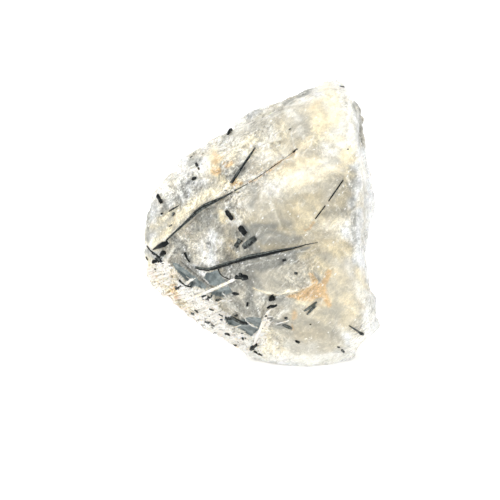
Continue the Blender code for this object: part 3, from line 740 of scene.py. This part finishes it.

# The crystals of black tourmaline
# Prisms that lie half sunk in the stone, their lighter sides and stripes painted on as sheen. Each is a
# line
# over the show face: the pixel and the crystal's width there, in pixels.
NEEDLES = [
    [(153, 249.6, 1.2), (157.5, 247, 3.4), (161.5, 245, 5.6), (165, 243.4, 5.8), (168, 242, 3.4)],
    [(166, 240.5, 1.4), (174, 232.8, 1.9), (182, 225.6, 2.3), (190, 218.3, 3.4), (197, 211.5, 4.8),
     (204, 206.5, 4.9), (211, 202.6, 3.9), (219, 199, 2.4), (227, 195.2, 1.8), (235, 190.3, 1.2),
     (243, 186.2, 0.8), (248, 183.3, 0.5)],
    [(249, 182.8, 0.4), (254, 179.5, 0.5), (259.3, 176.2, 0.9), (264, 173, 0.5), (268.6, 170, 0.6),
     (272, 167.5, 1.2), (277, 164, 1.1), (281, 161.5, 0.4), (288, 156, 0.4), (294, 151.6, 0.6)],
    [(231.3, 183.3, 3.4), (236, 176.5, 3.3), (242, 167.5, 3.0), (249, 157, 2.4), (255.3, 148, 1.6)],
    [(195.5, 267.3, 2.4), (199, 268.1, 3.5), (207, 269.3, 3.8), (212, 268.5, 3.2), (217, 266.8, 4.2),
     (226, 264.3, 4.4), (233, 262, 3.8), (240, 260, 4.4), (248, 257.3, 5.0), (258, 255.2, 4.6),
     (268, 253.5, 4.4), (276, 251.6, 4.1), (283, 250.2, 3.3), (292, 248.5, 2.4), (299, 246.6, 1.5),
     (306, 244.6, 1.0), (318, 242.3, 0.5)],
    [(343.2, 180, 1.2), (338, 187.5, 1.6), (333, 194.5, 1.6), (328.4, 201.3, 1.3)],
    [(325.3, 205.5, 1.1), (320, 212.5, 1.4), (315.2, 218.8, 1.2)],
    [(218.4, 269, 1.4), (219.5, 273, 1.2), (223, 276.6, 1.1), (231.5, 280, 1.2)],
    [(185.4, 252.3, 4.0), (186, 255, 3.0), (187.5, 258.5, 2.4), (189.7, 262, 2.0)],
    [(169, 211.5, 1.2), (173, 209, 1.8), (178.8, 205.8, 1.0)],
    [(147, 246, 1.4), (150.5, 250.5, 1.8), (155.5, 254, 1.5), (159.5, 257.5, 2.2), (161.5, 261, 1.6),
     (163.5, 263.5, 0.8)],
    [(179, 280, 1.4), (183, 284, 1.6), (188, 286.5, 1.4), (191.5, 287.2, 1.0)],
    [(340, 86.4, 1.2), (342.5, 87, 2.0), (345, 87.3, 1.2)],
    [(349, 325.5, 1.0), (353, 328, 1.5), (358, 331.3, 1.6), (361, 333.3, 3.4), (363.3, 334.4, 2.4)],
    [(282.7, 324.6, 2.0), (286, 325.6, 3.6), (289.5, 327, 3.4), (291.9, 328.8, 2.0)],
    [(254.3, 351.2, 2.2), (258, 353, 2.6), (262.4, 355.3, 2.0)],
    [(256.6, 343.4, 2.6), (254.5, 345.5, 4.6), (252, 348.5, 4.4), (250.6, 349.8, 2.4)],
    [(231.3, 316.8, 2.4), (236, 319.5, 3.4), (241.5, 322, 4.8), (247.3, 322.8, 3.8)],
    [(267, 308, 1.8), (270, 306.6, 3.6), (274, 306, 3.4), (277.3, 305, 1.6)],
]
# Green-grey crystals, which let some light through, and how much each of them does.
PALE_NEEDLES = [
    (0.8, [(304, 310.8, 2.2), (309, 307.5, 3.2), (314, 304, 3.2), (316.6, 301.8, 2.2)]),
    (0.7, [(306.8, 314.5, 1.8), (310.5, 310.5, 2.6), (315.5, 305.5, 2.0)]),
    (0.2, [(244.2, 246.6, 5.0), (248, 243.6, 6.2), (252, 240.4, 6.2), (256, 237.4, 4.6)]),
]
# Short crystals: the pixel of the middle, the length and the width in pixels, and the direction on
# the show face in degrees, turning up from rightward.
SHORT = [
    (295.7, 150.6, 5, 2.4, 38), (159.8, 199.3, 8.5, 4.6, -62), (173.6, 214.3, 4, 2.8, 60),
    (162, 213.6, 2.5, 2, 20), (170.7, 225.7, 3, 1.6, 30), (197.9, 166.6, 6.5, 2.8, -65),
    (194.3, 178.6, 4.6, 4, 20), (229.3, 214.8, 11, 4.6, -54), (243, 230.3, 9.6, 7, -50),
    (239.3, 242.6, 7, 5.6, 60), (284.3, 260, 4, 3.2, 20), (296, 273.3, 3.2, 3, 0),
    (235.6, 293.6, 6.4, 3.4, -8), (225.7, 190.7, 1.8, 1.4, 0), (211, 296.6, 3, 2, 60),
    (218, 299.5, 5.5, 3, 10), (247.4, 304.3, 4.4, 1.8, 80), (196.9, 311, 4.6, 2.6, -35),
    (193, 313.6, 4.6, 2.6, -25), (207, 322, 4.6, 2.8, -20), (213.9, 325.3, 4.4, 2, -10),
    (211.4, 309.6, 5, 1.6, -20), (220.7, 315, 5, 1.8, -30), (227.9, 333.6, 4, 3.2, -20),
    (235, 345.4, 3.2, 1.6, -10), (242.9, 338.6, 3.4, 2.2, -60), (262, 327.4, 2.4, 2.4, 0),
    (265.7, 316, 2.6, 2.4, 40), (286, 318, 3, 2.4, 10), (310.3, 324.3, 1.8, 1.5, 0),
    (297.6, 341.4, 4.4, 3.2, -25), (342.6, 350.6, 3.2, 2.6, -50), (338.6, 347, 2.8, 1.8, -20),
    (229.5, 131.8, 7, 4, 62), (290, 129.3, 2.4, 1.8, 20), (347.9, 149.3, 1.6, 1.2, 0),
    (154, 254, 4, 2, -30), (158, 260.5, 5, 2.2, -60), (161.4, 262.5, 4, 1.6, -30),
    (160, 257, 3.5, 1.8, 60), (163.4, 254, 5.6, 5.2, 30), (155.6, 269.5, 3, 1.6, -60),
    (147, 258.5, 3.6, 1.5, -70), (180.6, 282, 4, 2.2, -35), (191.3, 157.4, 2.4, 1.8, 40),
    (236.2, 315.4, 3, 2, 0), (205, 258, 1.6, 1.2, 0),
]
# Short crystals that are broken into grains.
CRUMBLED = [
    (242, 277, 12, 5.2, 2), (178.6, 287.4, 6, 2.6, 35), (204.3, 295.8, 4, 2.2, 20),
    (207.9, 298.3, 4, 2.6, 35), (158.5, 258.4, 6, 2.8, -50), (154.8, 261.8, 4.4, 3, 10),
    (272, 298.4, 5.4, 4.6, 30), (228.5, 318.2, 6.5, 3.0, -20),
]
CRUMBS = 5
# Where the crust is full of small grains, and how many.
GRAINY_EDGE = [(186, 304), (206, 308), (226, 306), (246, 336), (252, 350), (224, 342), (198, 328)]
EDGE_GRAINS = 13
# The crystals of the hidden sides, in mm: each needle's length and width, how many groups of short
# crystals there are and how far one reaches, and how many single grains lie about.
UNSEEN_NEEDLES = [(17, 0.8), (12, 0.6), (9, 1.0), (14, 0.5), (7, 0.6), (6, 0.9), (5, 0.4), (4, 0.3)]
UNSEEN_GROUPS = 9
GROUP_REACH = 4.0
UNSEEN_GRAINS = 20
# A crystal's rings are this many pixels apart, and this much of its thickness is sunk in the stone.
RING_STEP = 2.2
SUNK = 0.25
CAP_TONE = 0.4
# The farthest that a crystal's middle is from the stone's surface, in its own radii.
FREE = 0.6
# How evenly the stone breaks along its long crystals, and how far to their sides, in pixels.
BED_PASSES = 60
BED_REACH = 7.0
# The middle of the stone, as a pixel.
MIDDLE = np.array([262.0, 225.0])


def edges_around(bm, ring):
    return [bm.edges.get((ring[k - 1], ring[k])) for k in range(len(ring))]


def prism(bm, seats, normals, radii, sides, wear, flat, pale=0.0):
    """A prism along seats on the stone, in mm, with uneven sides, each side with a tone of its own."""
    tone = bm.faces.layers.float.get("tone") or bm.faces.layers.float.new("tone")
    along = np.gradient(seats, axis=0)
    corner_out = rng.uniform(0.80, 1.15, size=sides)
    side_tone = rng.uniform(0.0, 1.0, size=sides)
    ring = bmesh.ops.create_circle(bm, segments=sides, radius=1.0)["verts"]
    circle = [v.co.copy() for v in ring]
    rings = [ring]
    for _ in seats[1:]:
        grown = bmesh.ops.extrude_edge_only(bm, edges=edges_around(bm, ring))["geom"]
        fresh = {e for e in grown if isinstance(e, bmesh.types.BMVert)}
        ring = [next(e.other_vert(v) for e in v.link_edges if e.other_vert(v) in fresh) for v in ring]
        rings.append(ring)
    for ring, seat, normal, run, radius in zip(rings, seats, normals, along, radii):
        run = Vector(run).normalized()
        up = (Vector(normal) - run * Vector(normal).dot(run)).normalized()
        aside = run.cross(up)
        middle = Vector(seat) + up * radius * (1.0 - 2.0 * SUNK) * flat
        worn = corner_out * rng.uniform(1.0 - wear, 1.0 + wear, size=sides)
        for v, way, out in zip(ring, circle, worn * radius):
            slip = run * radius * rng.uniform(-wear, wear) * 1.5
            v.co = (middle + aside * way.x * out + up * way.y * out * flat + slip) * MM
    for near, far in zip(rings[:-1], rings[1:]):
        for k in range(sides):
            face = bm.faces.get((near[k - 1], near[k], far[k], far[k - 1]))
            face[tone] = pale + (1.0 - pale) * (0.75 * side_tone[k] + 0.25 * rng.uniform())
    for ring in (rings[0], rings[-1]):
        cap = bmesh.ops.contextual_create(bm, geom=edges_around(bm, ring))
        cap["faces"][0][tone] = CAP_TONE


def skin_of(mesh):
    bm = bmesh.new()
    bm.from_mesh(mesh)
    found = bvhtree.BVHTree.FromBMesh(bm)
    bm.free()
    return found


def seat_at(pixel):
    """Where the line of sight through a pixel meets the stone, or the nearest one inward that does."""
    pixel = np.array(pixel[:2], float)
    while True:
        place, normal, _, _ = skin.ray_cast(Vector(eye) * MM, sight_through(pixel))
        if place is not None:
            return np.array(place) / MM, np.array(normal)
        inward = MIDDLE - pixel
        pixel += inward / np.linalg.norm(inward)


def evened(values, times):
    for _ in range(times):
        inner = (values[:-2] + 2 * values[1:-1] + values[2:]) / 4
        values = np.concatenate([values[:1], inner, values[-1:]])
    return values


def steps_along(line):
    """A line of pixels and widths, in even steps."""
    line = np.array(line, float)
    runs = np.linalg.norm(np.diff(line[:, :2], axis=0), axis=1)
    starts = np.concatenate([[0.0], np.cumsum(runs)])
    places = np.linspace(0.0, starts[-1], max(4, round(starts[-1] / RING_STEP) + 1))
    return np.stack([np.interp(places, starts, line[:, k]) for k in range(3)], axis=1)


def kept_close(seats, radii):
    """Seats pulled back to the stone where they hang above it or lie deep in it."""
    for k, (seat, radius) in enumerate(zip(seats, radii)):
        nearest = np.array(skin.find_nearest(Vector(seat * MM))[0]) / MM
        gap = np.linalg.norm(seat - nearest)
        if gap > FREE * radius:
            seats[k] = nearest + (seat - nearest) * (FREE * radius / gap)
    return seats


def lie_on_face(bm, line, sides=8, wear=0.07, flat=0.75, proud=0.12, pale=0.0):
    """A prism along a line of pixels and widths, seen where the line says."""
    track = steps_along(line)
    found = [seat_at(pixel) for pixel in track]
    far = np.linalg.norm([seat - eye for seat, _ in found], axis=1)
    far = evened(np.minimum(far, evened(far, 6) + proud), 3)
    seats = [(seat - eye) / np.linalg.norm(seat - eye) for seat, _ in found] * far[:, None] + eye
    normals = evened(np.array([normal for _, normal in found]), 12)
    radii = track[:, 2] / PER_MM / 2 * rng.uniform(1.0 - wear, 1.0 + wear, size=len(track))
    prism(bm, kept_close(seats, radii), normals, radii, sides, wear, flat, pale)


def lie_unseen(bm, choice, length, width, tries, **shape):
    """A prism on the hidden sides, in mm, by a vertex of the choice: the straightest of some tries."""
    steps = max(3, round(length / 0.5))
    least = math.inf
    for _ in range(tries):
        start = rng.choice(choice)
        way = np.cross(skin_normals[start], rng.normal(size=3))
        way /= np.linalg.norm(way)
        aims = skin_points[start] + np.outer(np.linspace(-length / 2, length / 2, steps + 1), way)
        found = [skin.find_nearest(Vector(aim * MM)) for aim in aims]
        seats = np.array([place for place, _, _, _ in found]) / MM
        normals = np.array([normal for _, normal, _, _ in found])
        straight = np.linspace(seats[0], seats[-1], steps + 1)
        bend = np.linalg.norm(seats - straight, axis=1).max()
        if bend < least and (normals @ ahead).min() > 0.0:
            least = bend
            best = (0.5 * seats + 0.5 * straight, normals)
    if least < math.inf:
        taper = np.interp(np.linspace(0, 1, steps + 1), (0.0, 0.15, 0.6, 1.0), (0.6, 1.0, 0.9, 0.35))
        radii = width / 2 * taper
        prism(bm, kept_close(evened(best[0], 10), radii), evened(best[1], 12), radii, **shape)


def lie_short(bm, x, y, length, width, turn, **shape):
    """A short prism on the show face, thickest in its middle."""
    half = np.array([math.cos(math.radians(turn)), -math.sin(math.radians(turn))]) * length / 2
    blunt = rng.uniform(0.6, 1.0, size=2)
    line = [(x + at * half[0], y + at * half[1], width * grown)
            for at, grown in ((-1.0, blunt[0]), (-0.5, 1.0), (0.5, 0.95), (1.0, blunt[1]))]
    lie_on_face(bm, line, **shape)


def places_inside(outline, count):
    """Random pixels inside an outline."""
    low, high = np.min(outline, axis=0), np.max(outline, axis=0)
    found = rng.uniform(low, high, size=(count * 4, 2))
    return found[inside(found, outline) > 1.0][:count]


# The stone broke along its long crystals, so its surface runs evenly under them.
skin = skin_of(lump_mesh)
skin_points = points_of(lump_mesh)
for line in NEEDLES:
    track = steps_along(line)
    far = np.array([np.linalg.norm(seat_at(pixel)[0] - eye) for pixel in track])
    change = evened(far, BED_PASSES) - far
    near = np.flatnonzero((line_gap(exact, track[:, :2]) < 2.5 * BED_REACH) & (seen > 0.0))
    gaps = np.linalg.norm(exact[near, None] - track[None, :, :2], axis=2)
    step = gaps.argmin(axis=1)
    sight = skin_points[near] - eye
    sight /= np.linalg.norm(sight, axis=1)[:, None]
    moved = change[step] * np.exp(-((gaps.min(axis=1) / BED_REACH) ** 2)) * seen[near]
    skin_points[near] += sight * moved[:, None]
skin_points[:, 2] = np.maximum(skin_points[:, 2], 0.0)
move_to(lump_mesh, skin_points)
skin = skin_of(lump_mesh)
skin_normals = normals_of(lump_mesh)

black = bmesh.new()
for line in NEEDLES:
    lie_on_face(black, line, sides=10)
for pale, line in PALE_NEEDLES:
    lie_on_face(black, line, sides=7, pale=pale)
for x, y, length, width, turn in SHORT:
    lie_short(black, x, y, length, width, turn, sides=6, wear=0.15)
for x, y, length, width, turn in CRUMBLED:
    lie_short(black, x, y, length, width, turn, sides=7, wear=0.25)
    for _ in range(CRUMBS):
        off = rng.normal(0.0, (length * 0.25, width * 0.3), size=2)
        grown = width * rng.uniform(0.35, 0.6)
        lie_short(black, x + off[0], y + off[1], grown * rng.uniform(1.0, 2.0), grown,
                  rng.uniform(-90, 90), sides=5, wear=0.25)
for x, y in places_inside(GRAINY_EDGE, EDGE_GRAINS):
    lie_short(black, x, y, rng.uniform(1.2, 3.4), rng.uniform(0.7, 1.5), rng.normal(-20.0, 20.0),
              sides=5, wear=0.25)
hidden = np.flatnonzero((skin_normals @ ahead > 0.1) & (skin_points[:, 2] > 4.0))
for length, width in UNSEEN_NEEDLES:
    lie_unseen(black, hidden, length, width, 60, sides=8, wear=0.07, flat=0.75)
for group in rng.choice(hidden, size=UNSEEN_GROUPS):
    apart = np.linalg.norm(skin_points[hidden] - skin_points[group], axis=1)
    for _ in range(rng.integers(2, 9)):
        width = 0.25 + rng.beta(1.2, 3.0)
        lie_unseen(black, hidden[apart < GROUP_REACH], width * rng.uniform(1.0, 2.6), width, 3,
                   sides=6, wear=0.2, flat=0.7)
for _ in range(UNSEEN_GRAINS):
    lie_unseen(black, hidden, rng.uniform(0.4, 1.2), rng.uniform(0.2, 0.5), 3, sides=5, wear=0.2, flat=0.7)
bmesh.ops.recalc_face_normals(black, faces=black.faces)
crystal_mesh = bpy.data.meshes.new("tourmaline_crystals")
black.to_mesh(crystal_mesh)
black.free()

crystal_skin = bpy.data.materials.new("black_tourmaline")
crystal_skin.use_nodes = True
tree = crystal_skin.node_tree
surface = tree.nodes["Principled BSDF"]
grain = grain_in(tree, Scale=1.4, Detail=5.0, Roughness=0.75)["Amount"]
side_tone = add(tree, "Attribute", {"attribute_name": "tone"}).outputs["Fac"]
# Lighter sides and stripes along the crystals are painted sheen, in place of the light each side reflects.
sheen_stripes = maths(tree, "MULTIPLY", between(tree, side_tone, 0.45, 0.9), between(tree, grain, 0.42, 0.62))
colour = mixed(tree, between(tree, side_tone, 0.5, 1.0), shade(0.004, 0.006, 0.007),
               shade(0.07, 0.08, 0.07))
colour = mixed(tree, sheen_stripes, colour, shade(0.19, 0.21, 0.20))
speck = maths(tree, "MULTIPLY", between(tree, grain, 0.56, 0.68), 0.6)
colour = mixed(tree, speck, colour, shade(0.17, 0.19, 0.18))
tree.links.new(colour, surface.inputs["Base Color"])
surface.inputs["Roughness"].default_value = 0.32
surface.inputs["Specular IOR Level"].default_value = 0.16
crystal_mesh.materials.append(crystal_skin)
crystals = in_scene("tourmaline_crystals", crystal_mesh)
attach(crystals, "root")
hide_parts("moonstone")

# The white bars of the crust
# Splinters of white feldspar lie over the crust and between the slate plates, most of them side by side.
BARS = [
    [(203, 294, 2.2), (212, 290, 2.8), (222, 285.5, 2.6), (233, 280, 3.0), (238, 277.5, 1.6)],
    [(208, 303, 1.4), (216, 302.5, 2.4), (226, 301, 2.6), (232, 300, 1.6)],
    [(186.5, 282.5, 2.0), (189, 281, 3.7), (193, 279.3, 3.5), (195.5, 278.5, 1.9)],
    [(225, 327.5, 1.0), (233, 327.6, 1.6), (241, 325, 1.2)],
    [(234, 333, 1.0), (240, 331, 1.8), (246, 331, 1.4)],
    [(186, 276, 1.0), (190, 279, 1.2)],
    [(272, 308, 1.4), (268, 312, 3.0), (264, 320, 3.4), (261, 328, 3.0), (257, 337, 3.6), (254, 345, 3.0)],
    [(276, 324, 1.2), (282, 322.5, 1.6), (289, 320.5, 1.2)],
    [(246, 335, 1.4), (249, 338, 1.6), (251, 342, 1.2)],
]
# How many splinters lie in the crust, and around its edge to the hidden sides.
SPLINTERS = 130
SPLINTERS_AROUND = 70

white = bmesh.new()
for line in BARS:
    lie_on_face(white, line, sides=6, wear=0.16, flat=0.5, proud=0.1)
for x, y in places_inside(CRUST, SPLINTERS):
    lie_short(white, x, y, rng.uniform(4.0, 14.0), rng.uniform(1.0, 2.4), rng.normal(16.0, 11.0),
              sides=5, wear=0.2, flat=0.6, proud=0.2)
around_the_edge = np.flatnonzero((crust > 0.5) & (skin_normals @ ahead > 0.1))
for _ in range(SPLINTERS_AROUND):
    lie_unseen(white, around_the_edge, rng.uniform(0.8, 2.8), rng.uniform(0.2, 0.5), 4,
               sides=5, wear=0.2, flat=0.6)
bmesh.ops.recalc_face_normals(white, faces=white.faces)
bar_mesh = bpy.data.meshes.new("feldspar_bars")
white.to_mesh(bar_mesh)
white.free()
rust = brushed(STROKES["iron"], pixels_of(points_of(bar_mesh)))
stain = bar_mesh.attributes.new("iron", "FLOAT", "POINT")
stain.data.foreach_set("value", rust.astype(np.float32))

bar_skin = bpy.data.materials.new("white_feldspar")
bar_skin.use_nodes = True
tree = bar_skin.node_tree
surface = tree.nodes["Principled BSDF"]
grain = grain_in(tree, Scale=0.8, Detail=4.0, Roughness=0.7)["Amount"]
side_tone = add(tree, "Attribute", {"attribute_name": "tone"}).outputs["Fac"]
colour = mixed(tree, between(tree, side_tone, 0.0, 1.0), shade(0.84, 0.81, 0.74), shade(0.99, 0.98, 0.94))
colour = mixed(tree, between(tree, grain, 0.45, 0.70), colour, shade(0.96, 0.83, 0.62))
rust = add(tree, "Attribute", {"attribute_name": "iron"}).outputs["Fac"]
colour = mixed(tree, between(tree, rust, 0.0, 1.2), colour, shade(0.80, 0.47, 0.26))
tree.links.new(colour, surface.inputs["Base Color"])
surface.inputs["Roughness"].default_value = 0.45
surface.inputs["Subsurface Weight"].default_value = 0.3
surface.inputs["Subsurface Radius"].default_value = (1.0, 0.9, 0.75)
surface.inputs["Subsurface Scale"].default_value = 0.001
bar_mesh.materials.append(bar_skin)
bars = in_scene("feldspar_bars", bar_mesh)
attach(bars, "root")
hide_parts("moonstone")

# The floor and the light
# A plain white table under a light tent: light comes from all around, a little more from the upper left.
TABLE_REACH = 8.0  # m, from the middle to an edge
floor_mesh = bpy.data.meshes.new("table_top")
bm = bmesh.new()
bmesh.ops.create_grid(bm, x_segments=1, y_segments=1, size=TABLE_REACH)
bm.to_mesh(floor_mesh)
bm.free()
floor_skin = bpy.data.materials.new("white_table")
floor_skin.use_nodes = True
surface = floor_skin.node_tree.nodes["Principled BSDF"]
surface.inputs["Base Color"].default_value = shade(0.93, 0.93, 0.93)
surface.inputs["Roughness"].default_value = 0.9
surface.inputs["Emission Strength"].default_value = 0.3
floor_mesh.materials.append(floor_skin)
in_scene("table_top", floor_mesh)

world = bpy.data.worlds.new("light_tent")
world.use_nodes = True
tent = world.node_tree.nodes["Background"]
tent.inputs["Color"].default_value = shade(1.0, 1.0, 1.0)
tent.inputs["Strength"].default_value = 0.98
bpy.context.scene.world = world

lamp = bpy.data.lights.new("overhead", "SUN")
lamp.energy = 0.85
lamp.angle = math.radians(50.0)
hung = in_scene("overhead", lamp)
hung.rotation_euler = Vector((-0.35, -0.45, 0.82)).to_track_quat("Z", "Y").to_euler()
bpy.context.scene.view_settings.view_transform = "Standard"
